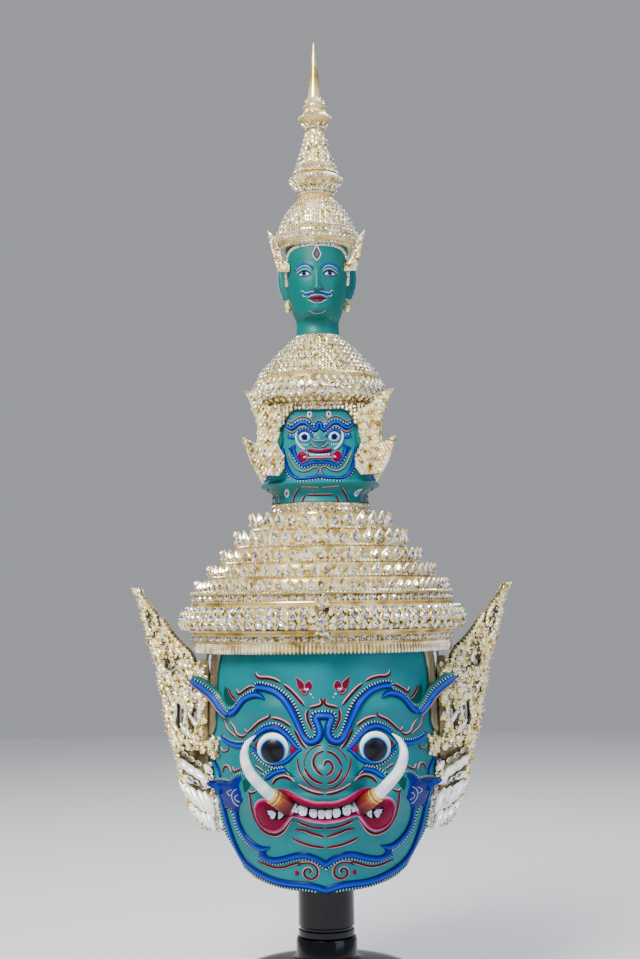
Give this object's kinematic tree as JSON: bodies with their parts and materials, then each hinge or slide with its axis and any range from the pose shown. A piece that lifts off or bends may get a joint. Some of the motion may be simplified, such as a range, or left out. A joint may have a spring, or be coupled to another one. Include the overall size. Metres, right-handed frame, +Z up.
{
  "type": "thai khon mask",
  "caption": "Tall green demon dance mask with bulging eyes, tusks and a tiered gilded crown carrying smaller heads and a spire, resting on a turned post stand.",
  "frame": {"origin": "centre of the flat underside of the stand's foot", "axes": "+Z up along the spire, -Y the way the face looks, +X towards the mask's own left ear, which is on the right as seen from the front"},
  "size_m": [0.3446, 0.267, 0.8903],
  "materials": {
    "green_lacquer": "semi-gloss green lacquer over papier-mache, with painted blue, white and red lines",
    "gilding": "gold leaf over moulded lacquer, set with clear glass stones",
    "polished_shell": "polished mother-of-pearl",
    "eye_enamel": "gloss enamel",
    "black_lacquered_wood": "gloss black lacquer on turned wood"
  },
  "bodies": {
    "root": {"mask_shell": "green_lacquer", "second_head": "green_lacquer", "top_head": "green_lacquer", "crown_band": "gilding", "crown_plaque": "gilding", "crown_tiers": "gilding", "crown_leaf_row_1": "gilding", "crown_leaf_row_2": "gilding", "crown_leaf_row_3": "gilding", "crown_leaf_row_4": "gilding", "crown_leaf_row_5": "gilding", "side_ornament_left": "gilding", "side_ornament_right": "gilding", "second_crown": "gilding", "small_ornament_1": "gilding", "small_ornament_2": "gilding", "small_ornament_3": "gilding", "small_ornament_4": "gilding", "top_crown_and_spire": "gilding", "top_ornament_left": "gilding", "top_ornament_right": "gilding", "ear_drop_left": "gilding", "ear_drop_right": "gilding", "tusk_ferrule_left": "gilding", "tusk_ferrule_right": "gilding", "tusk_left": "polished_shell", "tusk_right": "polished_shell", "teeth": "polished_shell", "eye_left": "eye_enamel", "eye_right": "eye_enamel", "stand_foot": "black_lacquered_wood", "stand_post": "black_lacquered_wood"}
  },
  "joints": []
}
